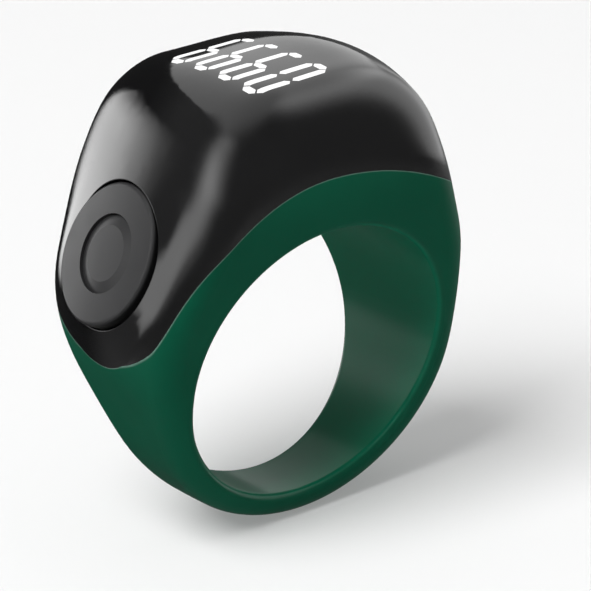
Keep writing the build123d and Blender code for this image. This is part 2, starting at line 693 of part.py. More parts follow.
PIECES = {
    "ring_band": ring_band,
    "top_cover": top_cover,
    "cover_bond": cover_bond,
    "button_cap": button_cap,
    "button_gasket": button_gasket,
    "switch_base": switch_base,
    "switch_cover": switch_cover,
    "switch_plunger": switch_plunger,
    "switch_dome": switch_dome,
    "switch_flex": switch_flex,
    "battery_pad": battery_pad,
    "battery_cell": battery_cell,
    "battery_tabs": battery_tabs,
    "main_board": main_board,
    "processor_chip": lambda: chip(PROCESSOR_PLACE, PROCESSOR_SIZE),
    "memory_chip": lambda: chip(MEMORY_PLACE, MEMORY_SIZE),
    "power_chip": lambda: chip(POWER_PLACE, POWER_SIZE),
    "crystal": lambda: chip(CRYSTAL_PLACE, CRYSTAL_SIZE),
    "antenna_chip": lambda: chip(ANTENNA_PLACE, ANTENNA_SIZE),
    "board_connector": lambda: chip(CONNECTOR_PLACE, CONNECTOR_SIZE),
    "board_passives": board_passives,
    "display_panel": display_panel,
    "display_bond": display_bond,
    "display_tray": display_tray,
    "display_flex": display_flex,
    "charge_contacts": charge_contacts,
    "dock_magnets": dock_magnets,
    "motor_can": motor_can,
    "motor_base": motor_base,
    "motor_magnet": motor_magnet,
    "motor_shaft": motor_shaft,
    "motor_rotor": motor_rotor,
    "motor_weight": motor_weight,
    "motor_flex": motor_flex,
}


def main():
    """Build every piece and write one file for each."""
    os.makedirs("parts", exist_ok=True)
    for name, make in PIECES.items():
        shape = make()
        solids = shape if isinstance(shape, list) else [shape]
        export_step(Compound(children=[solid for item in solids for solid in item.solids()]), f"parts/{name}.step")


if __name__ == "__main__":
    main()
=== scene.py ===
from math import cos, pi, radians, sin, tan

import bpy
from mathutils import Matrix, Vector


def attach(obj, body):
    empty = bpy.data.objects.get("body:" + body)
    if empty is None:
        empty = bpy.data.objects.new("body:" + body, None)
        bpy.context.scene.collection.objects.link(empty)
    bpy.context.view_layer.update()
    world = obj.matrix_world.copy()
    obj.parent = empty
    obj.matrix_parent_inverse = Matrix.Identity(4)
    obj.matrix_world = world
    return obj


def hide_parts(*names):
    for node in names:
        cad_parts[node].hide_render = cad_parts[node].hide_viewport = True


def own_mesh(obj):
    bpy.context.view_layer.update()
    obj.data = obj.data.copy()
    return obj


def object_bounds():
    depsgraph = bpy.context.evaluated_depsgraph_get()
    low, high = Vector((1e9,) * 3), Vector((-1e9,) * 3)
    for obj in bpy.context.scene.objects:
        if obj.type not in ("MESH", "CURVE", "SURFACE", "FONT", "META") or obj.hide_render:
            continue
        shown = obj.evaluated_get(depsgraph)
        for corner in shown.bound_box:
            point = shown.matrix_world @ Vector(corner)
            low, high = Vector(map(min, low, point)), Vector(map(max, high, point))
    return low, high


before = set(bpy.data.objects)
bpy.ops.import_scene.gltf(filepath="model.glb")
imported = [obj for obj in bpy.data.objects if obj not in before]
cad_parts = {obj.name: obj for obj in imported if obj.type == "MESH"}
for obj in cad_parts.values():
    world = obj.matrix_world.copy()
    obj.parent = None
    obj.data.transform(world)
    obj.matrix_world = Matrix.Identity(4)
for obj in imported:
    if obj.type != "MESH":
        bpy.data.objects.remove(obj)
cad_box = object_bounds()

bl_info = {
    "name": "Counting ring",
    "version": (1, 0, 0),
    "blender": (4, 5, 0),
    "location": "3D View > Sidebar > Counting ring",
    "description": "Finishes a push-button counting ring: shell, button, lit digits, inner parts and studio",
    "category": "Object",
}

MM = 0.001
ORIGIN = Vector((0, 0, 0))
ALONG_BORE = Vector((0, 1, 0))
FLAT_ACROSS_BORE = (1, 0, 1)
FLAT_ACROSS_RING = (0, 1, 1)

# The line where band and cover meet, along which a painted highlight runs on the band: a near arc, a far arc
# and a round skirt under the button.
PARTING_RADIUS = 13.65 * MM
FAR_PARTING_RADIUS = 19.0 * MM
SKIRT_HEIGHT = 7.1 * MM
SKIRT_RADIUS = 5.1 * MM
# Width of the painted highlight line on the band's rim.
PARTING_HIGHLIGHT_WIDTH = 0.09 * MM

# Radii between which the bore's polish and its painted light, a fuller and lighter green on the bore wall,
# end.
BORE_POLISH_END = (10.15 * MM, 10.6 * MM)
BORE_PAINTED_LIGHT_END = (10.0 * MM, 10.25 * MM)
BORE_COAT = 0.25

# Easing of the cover's ridges. It grows towards the ring's two sides and away from the button.
RIDGE_EASE = 2.5 * MM
EDGE_EASE = 0.12 * MM
EASE_START = (3.0 * MM, 5.5 * MM)
EASE_ROUND_BUTTON = (5.0 * MM, 7.7 * MM)
EASE_SAMPLES = 8

BUTTON_ANGLE = radians(28.45)
BUTTON_OUT = Vector((-cos(BUTTON_ANGLE), 0, sin(BUTTON_ANGLE)))
BUTTON_UP = Vector((sin(BUTTON_ANGLE), 0, cos(BUTTON_ANGLE)))
BUTTON_FACE = BUTTON_OUT * 15.35 * MM + BUTTON_UP * 2.57 * MM
BUTTON_RADIUS = 4.86 * MM
BUTTON_EDGE = 0.3 * MM
# Depths below the face where the painted shade on the button's side begins.
BUTTON_SIDE_SHADE_START = (0.4 * BUTTON_EDGE, 0.8 * BUTTON_EDGE)
BUTTON_CROWN_MM = 0.33

DOME_SEGMENTS = 64
DOME_RINGS = 96
SMOOTH_ANGLE = radians(35)

# Corner radius of a six-sided disc as a share of its width across the flats.
STROKE_POINT_SHARE = 0.577
STROKE_CUTS = 6

# Scales and ranges of the patterns in the finishes.
MID_TONES = (0.3, 0.7)
STAIN_TONES = (0.35, 0.7)
STAIN_SHARE = 0.82
FULL_RANGE = (0.0, 1.0)
SKIN_DEPTH_MM = 0.004
LINE_DEPTH_MM = 0.006
TRACK_DEPTH_MM = 0.01
BUBBLE_DEPTH_MM = 0.01
COPPER_SCALE = 900.0
COPPER_EDGE = (0.45, 0.6)
TRACK_SCALE = 900.0
TRACK_EDGE = (0.05, 0.12)
BUBBLE_SCALE = 2500.0
BUBBLE_EDGE = (0.1, 0.25)
FINGER_FILM_SCALE = 120.0
FINGER_FILM_EDGE = (0.45, 0.75)
LIGHT_POINT_SCALE = 4000.0
FLOOR_CLOUD_SCALE = 12.0
DRAWN_STRETCH = (1.0, 40.0, 1.0)
CIRCUIT_ROUGHNESS = (0.3, 0.42)

# How far a direction turns to the wall behind the ring where the room darkens, and its light on each side.
DARK_WALL = (0.68, 0.87)
ROOM_LIGHT = (0.2, 0.02)
FLOOR_HEIGHT = cad_box[0].z
CARD_DISTANCE = 1.0
ROOF_HEIGHT = 1.0
ROOF_TURN = radians(49.5)
BOX_DISTANCE = 1.5
SENSOR_WIDTH = 36.0
CLIP_START = 10 * MM
WHITE = (1, 1, 1, 1)

# The Mix node holds its sockets for every kind of data, and these are the colour ones.
MIX_FIRST_COLOUR = 6
MIX_SECOND_COLOUR = 7
MIX_COLOUR = 2
NODE_SPACING = 200

SEGMENTS = {
    0: ("top", "upper_left", "upper_right", "lower_left", "lower_right", "bottom"),
    1: ("upper_right", "lower_right"),
    2: ("top", "upper_right", "middle", "lower_left", "bottom"),
    3: ("top", "upper_right", "middle", "lower_right", "bottom"),
    4: ("upper_left", "upper_right", "middle", "lower_right"),
    5: ("top", "upper_left", "middle", "lower_right", "bottom"),
    6: ("top", "upper_left", "middle", "lower_left", "lower_right", "bottom"),
    7: ("top", "upper_right", "lower_right"),
    8: ("top", "upper_left", "upper_right", "middle", "lower_left", "lower_right", "bottom"),
    9: ("top", "upper_left", "upper_right", "middle", "lower_right", "bottom"),
}


def colour(name, description, default):
    """A colour that a user may change."""
    return bpy.props.FloatVectorProperty(
        name=name, description=description, default=default, size=4, min=0, max=1, subtype="COLOR"
    )


def length(name, description, default_mm):
    """A length that a user may change, given in millimetres."""
    return bpy.props.FloatProperty(
        name=name, description=description, default=default_mm * MM, min=0, precision=5, unit="LENGTH"
    )


def angle(name, description, default_degrees):
    """An angle that a user may change, given in degrees."""
    return bpy.props.FloatProperty(
        name=name, description=description, default=radians(default_degrees), subtype="ANGLE"
    )


class DisplaySizes(bpy.types.PropertyGroup):
    """Sizes of the lit digits."""

    count: bpy.props.IntProperty(name="Count", description="Number shown", default=999, min=0, max=9999)
    places: bpy.props.IntProperty(name="Places", description="Digits in the row", default=4, min=1, max=4)
    half_height: length("Half height", "Middle stroke to end stroke of a digit", 2.937)
    half_width: length("Half width", "Digit's middle to its long strokes", 0.72)
    pitch: length("Pitch", "One digit's middle to the next", 2.75)
    row_towards_button: length("Row towards button", "Row's middle, from the bore axis to the button", 0.68)
    row_towards_front: length("Row towards front", "Row's middle, from the ring's middle to its front", 1.06)
    slant: angle("Slant", "Lean of the digits", 2.95)
    stroke: length("Stroke", "Width of a stroke", 0.56)
    gap: length("Gap", "Space between two strokes that meet", 0.14)
    lift: length("Lift", "Face of the strokes above the cover", 0.02)
    film: length("Film", "Thickness of the strokes", 0.04)


class DomeSizes(bpy.types.PropertyGroup):
    """Sizes of the switch's snap dome."""

    radius: length("Radius", "Rim of the dome", 1.35)
    height: length("Height", "Seat to the dome's top", 0.28)
    thickness: length("Thickness", "Sheet of the dome", 0.07)
    pressed_share: bpy.props.FloatProperty(
        name="Pressed share", description="Height left when the button is pressed",
        default=0.16, min=0.05, max=1,
    )


class ShellColours(bpy.types.PropertyGroup):
    """Colours of what shows from outside."""

    band: colour("Band", "Moulded band", (0.0006, 0.067, 0.0345, 1))
    # Painted light: the bore wall's green is fuller and lighter than the band's, standing in for light inside
    # the bore.
    bore: colour("Bore", "Polished wall of the finger bore", (0.001, 0.122, 0.063, 1))
    # Painted highlight: a paler green drawn on the band's rim along the parting, where light would catch the
    # edge.
    band_edge: colour("Band edge", "Band's rim along the parting", (0.11, 0.2, 0.16, 1))
    cover: colour("Cover", "Gloss cover", (0.004, 0.004, 0.0042, 1))
    button: colour("Button", "Push button", (0.02, 0.02, 0.0206, 1))
    digits: colour("Digits", "Lit strokes", (1, 1, 1, 1))


class InnerColours(bpy.types.PropertyGroup):
    """Colours of the parts under the cover."""

    board: colour("Board", "Solder mask", (0.006, 0.07, 0.022, 1))
    track: colour("Track", "Tracks under the mask", (0.03, 0.16, 0.05, 1))
    moulding: colour("Moulding", "Dark mouldings and chip bodies", (0.012, 0.012, 0.013, 1))
    white: colour("White", "White mouldings", (0.7, 0.7, 0.67, 1))
    silicone: colour("Silicone", "Button gasket", (0.03, 0.03, 0.031, 1))
    adhesive: colour("Adhesive", "Bond lines", (0.62, 0.62, 0.57, 1))
    film: colour("Film", "Flexible circuits", (0.36, 0.115, 0.012, 1))
    foam: colour("Foam", "Cell pad", (0.05, 0.05, 0.055, 1))
    foil: colour("Foil", "Pouch of the cell", (0.58, 0.58, 0.6, 1))
    ceramic: colour("Ceramic", "Ceramic bodies", (0.36, 0.27, 0.17, 1))
    steel: colour("Steel", "Pressed steel", (0.55, 0.55, 0.57, 1))
    gold: colour("Gold", "Plated contacts", (0.75, 0.5, 0.16, 1))
    nickel: colour("Nickel", "Plated magnets", (0.62, 0.61, 0.59, 1))
    ferrite: colour("Ferrite", "Ring magnet", (0.035, 0.035, 0.038, 1))
    tungsten: colour("Tungsten", "Rotor weight", (0.2, 0.2, 0.21, 1))
    glass: colour("Glass", "Display panel", (0.006, 0.006, 0.007, 1))


class StudioSizes(bpy.types.PropertyGroup):
    """Camera and studio."""

    azimuth: angle("Azimuth", "Camera round the ring", -33.509)
    elevation: angle("Elevation", "Camera above the floor", 21.036)
    roll: angle("Roll", "Camera about its own axis", -4.499)
    distance: length("Distance", "Camera to the bore's middle", 238.1)
    aim_right: length("Aim right", "Picture's middle right of the bore's", 1.7404)
    aim_up: length("Aim up", "Picture's middle above the bore's", 3.0583)
    lens: bpy.props.FloatProperty(
        name="Lens", description="Focal length on a 36 mm sensor",
        default=213.57, min=1, subtype="DISTANCE_CAMERA",
    )
    floor: colour("Floor", "Studio floor", (0.565, 0.565, 0.565, 1))
    floor_glow: bpy.props.FloatProperty(
        name="Floor glow", description="Light that the floor gives of its own", default=0.25, min=0
    )
    floor_side: length("Floor side", "Side of the floor", 1400)


class Nodes:
    """One node tree and short words for adding to it."""

    def __init__(self, tree):
        self.tree = tree
        self.column = 0

    def add(self, kind, **settings):
        """A new node with its settings, to the right of the last one."""
        node = self.tree.nodes.new(kind)
        node.location = (self.column * NODE_SPACING, 0)
        self.column += 1
        for key, value in settings.items():
            setattr(node, key, value)
        return node

    def join(self, source, target):
        """Links an output to an input."""
        self.tree.links.new(source, target)

    def feed(self, socket, value):
        """Links a socket, or sets its plain value."""
        if isinstance(value, bpy.types.NodeSocket):
            self.join(value, socket)
        else:
            socket.default_value = value

    def maths(self, operation, first, second=0.0, third=0.0):
        """One operation on up to three values."""
        node = self.add("ShaderNodeMath", operation=operation)
        for socket, value in zip(node.inputs, (first, second, third)):
            self.feed(socket, value)
        return node.outputs["Value"]

    def vector(self, operation, first, second):
        """One operation on two vectors."""
        node = self.add("ShaderNodeVectorMath", operation=operation)
        self.feed(node.inputs[0], first)
        self.feed(node.inputs[1], second)
        return node.outputs["Value" if operation in ("DOT_PRODUCT", "DISTANCE") else "Vector"]

    def axes(self, place):
        """A place's three coordinates."""
        node = self.add("ShaderNodeSeparateXYZ")
        self.join(place, node.inputs["Vector"])
        return node.outputs

    def pattern(self, kind, place, scale, **settings):
        """A texture node laid out over a place."""
        node = self.add(kind, **settings)
        self.join(place, node.inputs["Vector"])
        self.feed(node.inputs["Scale"], scale)
        return node

    def noise(self, place, scale, detail=2.0, roughness=0.5):
        """Soft noise."""
        node = self.pattern("ShaderNodeTexNoise", place, scale)
        self.feed(node.inputs["Detail"], detail)
        self.feed(node.inputs["Roughness"], roughness)
        return node.outputs["Fac"]

    def stretch(self, place, scale):
        """A place drawn out along its axes."""
        node = self.add("ShaderNodeMapping")
        self.join(place, node.inputs["Vector"])
        node.inputs["Scale"].default_value = scale
        return node.outputs["Vector"]

    def span(self, value, low, high, to_low=0.0, to_high=1.0):
        """A smooth step from one range to another."""
        node = self.add("ShaderNodeMapRange", interpolation_type="SMOOTHSTEP")
        entries = {"Value": value, "From Min": low, "From Max": high, "To Min": to_low, "To Max": to_high}
        for key, entry in entries.items():
            self.feed(node.inputs[key], entry)
        return node.outputs["Result"]

    def blend(self, share, first, second):
        """A mix of two colours."""
        node = self.add("ShaderNodeMix", data_type="RGBA")
        self.feed(node.inputs["Factor"], share)
        self.feed(node.inputs[MIX_FIRST_COLOUR], first)
        self.feed(node.inputs[MIX_SECOND_COLOUR], second)
        return node.outputs[MIX_COLOUR]

    def bump(self, height, strength, distance_mm, over=None):
        """Normal of a surface with a height on it, or on a normal that is given."""
        node = self.add("ShaderNodeBump")
        node.inputs["Strength"].default_value = strength
        node.inputs["Distance"].default_value = distance_mm * MM
        self.join(height, node.inputs["Height"])
        if over:
            self.join(over, node.inputs["Normal"])
        return node.outputs["Normal"]

    def eased(self, radius):
        """Normal of a surface whose ridges are eased over a radius."""
        node = self.add("ShaderNodeBevel", samples=EASE_SAMPLES)
        self.feed(node.inputs["Radius"], radius)
        return node.outputs["Normal"]


def shared_group(name, inputs, outputs, wire):
    """A node group that is made once and placed in each material."""
    group = bpy.data.node_groups.get(name)
    if group:
        return group
    group = bpy.data.node_groups.new(name, "ShaderNodeTree")
    group.interface.new_socket("Place", in_out="INPUT", socket_type="NodeSocketVector")
    for label, default in inputs.items():
        socket = group.interface.new_socket(label, in_out="INPUT", socket_type="NodeSocketFloat")
        socket.default_value = default
    for label in outputs:
        group.interface.new_socket(label, in_out="OUTPUT", socket_type="NodeSocketFloat")
    nodes = Nodes(group)
    entry = nodes.add("NodeGroupInput")
    results = wire(nodes, entry.outputs)
    leave = nodes.add("NodeGroupOutput")
    for label, result in zip(outputs, results):
        nodes.join(result, leave.inputs[label])
    return group


def wire_moulded_skin(nodes, given):
    """Fine spark texture of a mould, and slow clouds in its gloss."""
    grain = nodes.noise(given["Place"], given["Grain"], detail=3.0)
    clouds = nodes.noise(given["Place"], given["Clouds"])
    return grain, clouds


def wire_drawn_lines(nodes, given):
    """Fine drawing lines of rolled metal, and stains."""
    lines = nodes.noise(nodes.stretch(given["Place"], DRAWN_STRETCH), given["Scale"])
    stains = nodes.noise(given["Place"], given["Stains"])
    return lines, stains


def moulded_skin():
    """The group for plastics and rubber."""
    return shared_group(
        "moulded_skin", {"Grain": 9000.0, "Clouds": 180.0}, ("Height", "Mottle"), wire_moulded_skin
    )


def drawn_lines():
    """The group for metals."""
    return shared_group(
        "drawn_lines", {"Scale": 700.0, "Stains": 300.0}, ("Height", "Stains"), wire_drawn_lines
    )


class Finish:
    """A material with its shader and its place in the ring's frame."""

    def __init__(self, name, **plain):
        self.material = bpy.data.materials.new(name)
        self.material.use_nodes = True
        tree = self.material.node_tree
        tree.nodes.clear()
        self.nodes = Nodes(tree)
        self.place = self.nodes.add("ShaderNodeTexCoord").outputs["Object"]
        self.shader = self.nodes.add("ShaderNodeBsdfPrincipled")
        output = self.nodes.add("ShaderNodeOutputMaterial")
        self.nodes.join(self.shader.outputs["BSDF"], output.inputs["Surface"])
        for key, value in plain.items():
            self.shader.inputs[key.replace("_", " ")].default_value = value

    def give(self, **fed):
        """Feeds the shader's inputs."""
        for key, value in fed.items():
            self.nodes.feed(self.shader.inputs[key.replace("_", " ")], value)

    def fed_by(self, key):
        """What feeds one of the shader's inputs now."""
        return self.shader.inputs[key].links[0].from_socket

    def group(self, group, **values):
        """Places a shared group with this finish's own values."""
        node = self.nodes.add("ShaderNodeGroup")
        node.node_tree = group
        self.nodes.join(self.place, node.inputs["Place"])
        for key, value in values.items():
            node.inputs[key].default_value = value
        return node.outputs


def lighter(shade, share):
    """A colour made lighter or darker, at most white."""
    return tuple(min(1.0, part * share) for part in shade[:3]) + (1.0,)


def moulded(name, shade, rough, grain=9000.0, clouds=180.0, depth=0.4, vary=1.25, **plain):
    """A moulded plastic or rubber: mould grain, slow clouds in colour and gloss."""
    finish = Finish(name, **plain)
    skin = finish.group(moulded_skin(), Grain=grain, Clouds=clouds)
    mottle = finish.nodes.span(skin["Mottle"], *MID_TONES)
    finish.give(
        Base_Color=finish.nodes.blend(mottle, shade, lighter(shade, vary)),
        Roughness=finish.nodes.span(skin["Mottle"], *MID_TONES, *rough),
        Normal=finish.nodes.bump(skin["Height"], depth, SKIN_DEPTH_MM),
    )
    return finish


def metal(name, shade, rough, scale=700.0, depth=0.25):
    """A metal with drawing lines and faint stains."""
    finish = Finish(name, Metallic=1.0)
    lines = finish.group(drawn_lines(), Scale=scale)
    stains = finish.nodes.span(lines["Stains"], *STAIN_TONES)
    finish.give(
        Base_Color=finish.nodes.blend(stains, lighter(shade, STAIN_SHARE), shade),
        Roughness=finish.nodes.span(lines["Stains"], *STAIN_TONES, *rough),
        Normal=finish.nodes.bump(lines["Height"], depth, SKIN_DEPTH_MM),
    )
    return finish


def film_finish(name, shade):
    """A flexible circuit: amber film over copper lines."""
    finish = Finish(name, Coat_Roughness=0.2)
    nodes = finish.nodes
    skin = finish.group(moulded_skin(), Grain=3000.0, Clouds=500.0)
    wave = nodes.pattern("ShaderNodeTexWave", finish.place, COPPER_SCALE, bands_direction="Y")
    wave.inputs["Distortion"].default_value = 0.0
    copper = nodes.span(wave.outputs["Fac"], *COPPER_EDGE)
    finish.give(
        Base_Color=nodes.blend(copper, shade, lighter(shade, 1.7)),
        Roughness=nodes.span(skin["Mottle"], *MID_TONES, *CIRCUIT_ROUGHNESS),
        Coat_Weight=nodes.span(copper, *FULL_RANGE, to_low=0.3, to_high=0.6),
        Normal=nodes.bump(copper, strength=0.3, distance_mm=LINE_DEPTH_MM),
    )
    return finish


def board_finish(tint):
    """Green mask with the tracks showing through it."""
    finish = Finish("board_mask_green", Coat_Roughness=0.15)
    nodes = finish.nodes
    cells = nodes.pattern(
        "ShaderNodeTexVoronoi", finish.place, TRACK_SCALE, distance="MANHATTAN", feature="DISTANCE_TO_EDGE"
    )
    track = nodes.span(cells.outputs["Distance"], *TRACK_EDGE, to_low=1.0, to_high=0.0)
    skin = finish.group(moulded_skin(), Grain=6000.0, Clouds=500.0)
    finish.give(
        Base_Color=nodes.blend(track, tint.board, tint.track),
        Roughness=nodes.span(skin["Mottle"], *MID_TONES, *CIRCUIT_ROUGHNESS),
        Coat_Weight=nodes.span(track, *FULL_RANGE, to_low=0.4, to_high=0.7),
        Normal=nodes.bump(track, strength=0.3, distance_mm=TRACK_DEPTH_MM),
    )
    return finish


def bond_finish(name, shade):
    """A milky adhesive with small bubbles."""
    finish = Finish(name, Subsurface_Weight=0.2, Subsurface_Scale=0.5 * MM)
    nodes = finish.nodes
    cells = nodes.pattern("ShaderNodeTexVoronoi", finish.place, BUBBLE_SCALE)
    bubble = nodes.span(cells.outputs["Distance"], *BUBBLE_EDGE, to_low=1.0, to_high=0.0)
    finish.give(
        Base_Color=nodes.blend(bubble, shade, lighter(shade, 1.3)),
        Roughness=nodes.span(bubble, *FULL_RANGE, to_low=0.3, to_high=0.15),
        Normal=nodes.bump(bubble, strength=0.4, distance_mm=BUBBLE_DEPTH_MM),
    )
    return finish


def wear(node, finish):
    """Puts a finish on a CAD node."""
    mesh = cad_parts[node].data
    mesh.materials.clear()
    mesh.materials.append(finish.material)


def deselect():
    """Leaves edit mode and lets go of everything."""
    if bpy.context.object and bpy.context.object.mode != "OBJECT":
        bpy.ops.object.mode_set(mode="OBJECT")
    bpy.ops.object.select_all(action="DESELECT")


class COUNTER_OT_band(bpy.types.Operator):
    """Finish the moulded band"""

    bl_idname = "counter.band"
    bl_label = "Band"

    def execute(self, context):
        tint = context.scene.shell_colours
        finish = moulded(
            "band_satin_green", tint.band, rough=(0.42, 0.5), grain=7000.0, clouds=140.0,
            depth=0.2, vary=1.08, Specular_IOR_Level=0.06, Coat_Roughness=0.18,
        )
        # Painted light: a fuller, lighter green laid on the bore wall.
        bore = bore_wall(finish, BORE_PAINTED_LIGHT_END, 1.0)
        plastic = finish.nodes.blend(bore, finish.fed_by("Base Color"), tint.bore)
        finish.give(
            # Painted highlight: a paler green line along the band's rim at the parting.
            Base_Color=finish.nodes.blend(parting_edge(finish), plastic, tint.band_edge),
            Coat_Weight=bore_wall(finish, BORE_POLISH_END, BORE_COAT),
        )
        wear("ring_band", finish)
        return {"FINISHED"}


def bore_radius(finish):
    """Distance from the bore's axis."""
    across = finish.nodes.vector("MULTIPLY", finish.place, FLAT_ACROSS_BORE)
    return finish.nodes.vector("DISTANCE", across, ORIGIN)


def bore_wall(finish, end, strength):
    """Mask of the wall of the bore, fading between the two radii of its end."""
    return finish.nodes.span(bore_radius(finish), *end, to_low=strength, to_high=0.0)


def rim(nodes, radius, edge):
    """Mask of a thin line at one radius, for the painted highlight along the parting."""
    offset = nodes.maths("ABSOLUTE", nodes.maths("SUBTRACT", radius, edge))
    return nodes.span(offset, 0.0, PARTING_HIGHLIGHT_WIDTH, to_low=1.0, to_high=0.0)


def parting_edge(finish):
    """Mask of the painted highlight, a pale line on the band's thin rim along the cover's edge: two wide arcs
    and the round skirt.
    """
    nodes = finish.nodes
    across = nodes.vector("MULTIPLY", finish.place, FLAT_ACROSS_BORE)
    endwise = nodes.vector("MULTIPLY", finish.place, FLAT_ACROSS_RING)
    radius = bore_radius(finish)
    far_radius = nodes.vector("DISTANCE", across, (0, 0, PARTING_RADIUS - FAR_PARTING_RADIUS))
    skirt_radius = nodes.vector("DISTANCE", endwise, (0, 0, SKIRT_HEIGHT))
    from_middle = nodes.axes(finish.place)["X"]
    far_half = nodes.maths("GREATER_THAN", from_middle, 0.0)
    near_half = nodes.maths("SUBTRACT", 1.0, far_half)
    button_end = nodes.maths("LESS_THAN", from_middle, -PARTING_RADIUS / 2)
    skirt_rim = nodes.maths("MULTIPLY", rim(nodes, skirt_radius, SKIRT_RADIUS), button_end)
    near_rim = nodes.maths("MAXIMUM", rim(nodes, radius, PARTING_RADIUS), skirt_rim)
    near_side = nodes.maths("MULTIPLY", near_rim, near_half)
    far_side = nodes.maths("MULTIPLY", rim(nodes, far_radius, FAR_PARTING_RADIUS), far_half)
    outside = nodes.maths("GREATER_THAN", radius, BORE_POLISH_END[1])
    return nodes.maths("MULTIPLY", nodes.maths("ADD", near_side, far_side), outside)


class COUNTER_OT_cover(bpy.types.Operator):
    """Finish the gloss cover"""

    bl_idname = "counter.cover"
    bl_label = "Cover"

    def execute(self, context):
        tint = context.scene.shell_colours
        finish = Finish("cover_gloss_black", IOR=1.5)
        nodes = finish.nodes
        touched = nodes.noise(finish.place, FINGER_FILM_SCALE, detail=3.0, roughness=0.6)
        film = nodes.span(touched, *FINGER_FILM_EDGE)
        skin = finish.group(moulded_skin(), Grain=2600.0, Clouds=110.0)
        eased = nodes.eased(ridge_ease(finish))
        finish.give(
            Base_Color=nodes.blend(film, tint.cover, lighter(tint.cover, 1.3)),
            Roughness=nodes.span(film, *FULL_RANGE, to_low=0.06, to_high=0.085),
            Normal=nodes.bump(skin["Height"], strength=0.03, distance_mm=SKIN_DEPTH_MM, over=eased),
        )
        wear("top_cover", finish)
        return {"FINISHED"}


def ridge_ease(finish):
    """Radius that eases the cover's long ridges, small in its middle and round the button."""
    nodes = finish.nodes
    from_middle = nodes.maths("ABSOLUTE", nodes.axes(finish.place)["Y"])
    sideways = nodes.span(from_middle, *EASE_START)
    clear = nodes.span(button_axis_distance(finish), *EASE_ROUND_BUTTON)
    return nodes.maths("MULTIPLY_ADD", nodes.maths("MULTIPLY", sideways, clear), RIDGE_EASE, EDGE_EASE)


def button_axis_distance(finish):
    """Distance from the button's axis."""
    nodes = finish.nodes
    offset = nodes.vector("SUBTRACT", finish.place, BUTTON_FACE)
    beside = nodes.vector("CROSS_PRODUCT", offset, BUTTON_OUT)
    return nodes.vector("DISTANCE", beside, ORIGIN)


class COUNTER_OT_button(bpy.types.Operator):
    """Finish the push button and its gasket"""

    bl_idname = "counter.button"
    bl_label = "Button"

    def execute(self, context):
        shell = context.scene.shell_colours
        inner = context.scene.inner_colours
        cap = moulded(
            "button_satin_grey", shell.button, rough=(0.34, 0.42), grain=12000.0, clouds=260.0,
            depth=0.3, vary=1.1, Specular_IOR_Level=0.16,
        )
        # Painted shade: the button's side below its rim is given the cover's black.
        cap.give(
            Base_Color=cap.nodes.blend(button_side(cap), cap.fed_by("Base Color"), shell.cover),
            Normal=cap.nodes.bump(
                button_crown(cap), strength=1.0, distance_mm=BUTTON_CROWN_MM, over=cap.fed_by("Normal")
            ),
        )
        wear("button_cap", cap)
        gasket = moulded(
            "gasket_silicone", inner.silicone, rough=(0.6, 0.75), grain=8000.0, clouds=400.0, depth=0.5
        )
        wear("button_gasket", gasket)
        return {"FINISHED"}


def button_crown(finish):
    """Height of a shallow crown along the bore."""
    nodes = finish.nodes
    share = nodes.maths("DIVIDE", nodes.axes(finish.place)["Y"], BUTTON_RADIUS)
    return nodes.maths("SUBTRACT", 1.0, nodes.maths("MULTIPLY", share, share))


def button_side(finish):
    """Mask of the button's side below its rounded rim, painted in the cover's black as painted shade on the
    side wall and in the gap round it.
    """
    nodes = finish.nodes
    offset = nodes.vector("SUBTRACT", finish.place, BUTTON_FACE)
    depth = nodes.maths("MULTIPLY", nodes.vector("DOT_PRODUCT", offset, BUTTON_OUT), -1.0)
    below = nodes.span(depth, *BUTTON_SIDE_SHADE_START)
    at_rim = nodes.maths("GREATER_THAN", button_axis_distance(finish), BUTTON_RADIUS - BUTTON_EDGE)
    return nodes.maths("MULTIPLY", below, at_rim)


class COUNTER_OT_switch(bpy.types.Operator):
    """Finish the switch under the button and model its snap dome"""

    bl_idname = "counter.switch"
    bl_label = "Switch"

    def execute(self, context):
        tint = context.scene.inner_colours
        wear("switch_base", moulded("switch_moulding", tint.moulding, rough=(0.5, 0.62)))
        wear("switch_plunger", moulded("plunger_white", tint.white, rough=(0.35, 0.45)))
        wear("switch_cover", metal("switch_steel", tint.steel, rough=(0.28, 0.4)))
        wear("switch_flex", film_finish("switch_film", tint.film))
        size = context.scene.dome_sizes
        if size.height >= size.radius or size.thickness >= size.height:
            raise RuntimeError("the snap dome has to be lower than its radius and higher than its sheet")
        dome, seat = model_dome(size)
        finish = metal("dome_steel", lighter(tint.steel, 1.1), rough=(0.16, 0.26), scale=1500.0, depth=0.1)
        dome.data.materials.append(finish.material)
        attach(dome, "ring")
        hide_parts("switch_dome")
        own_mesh(dome)
        return {"FINISHED"}


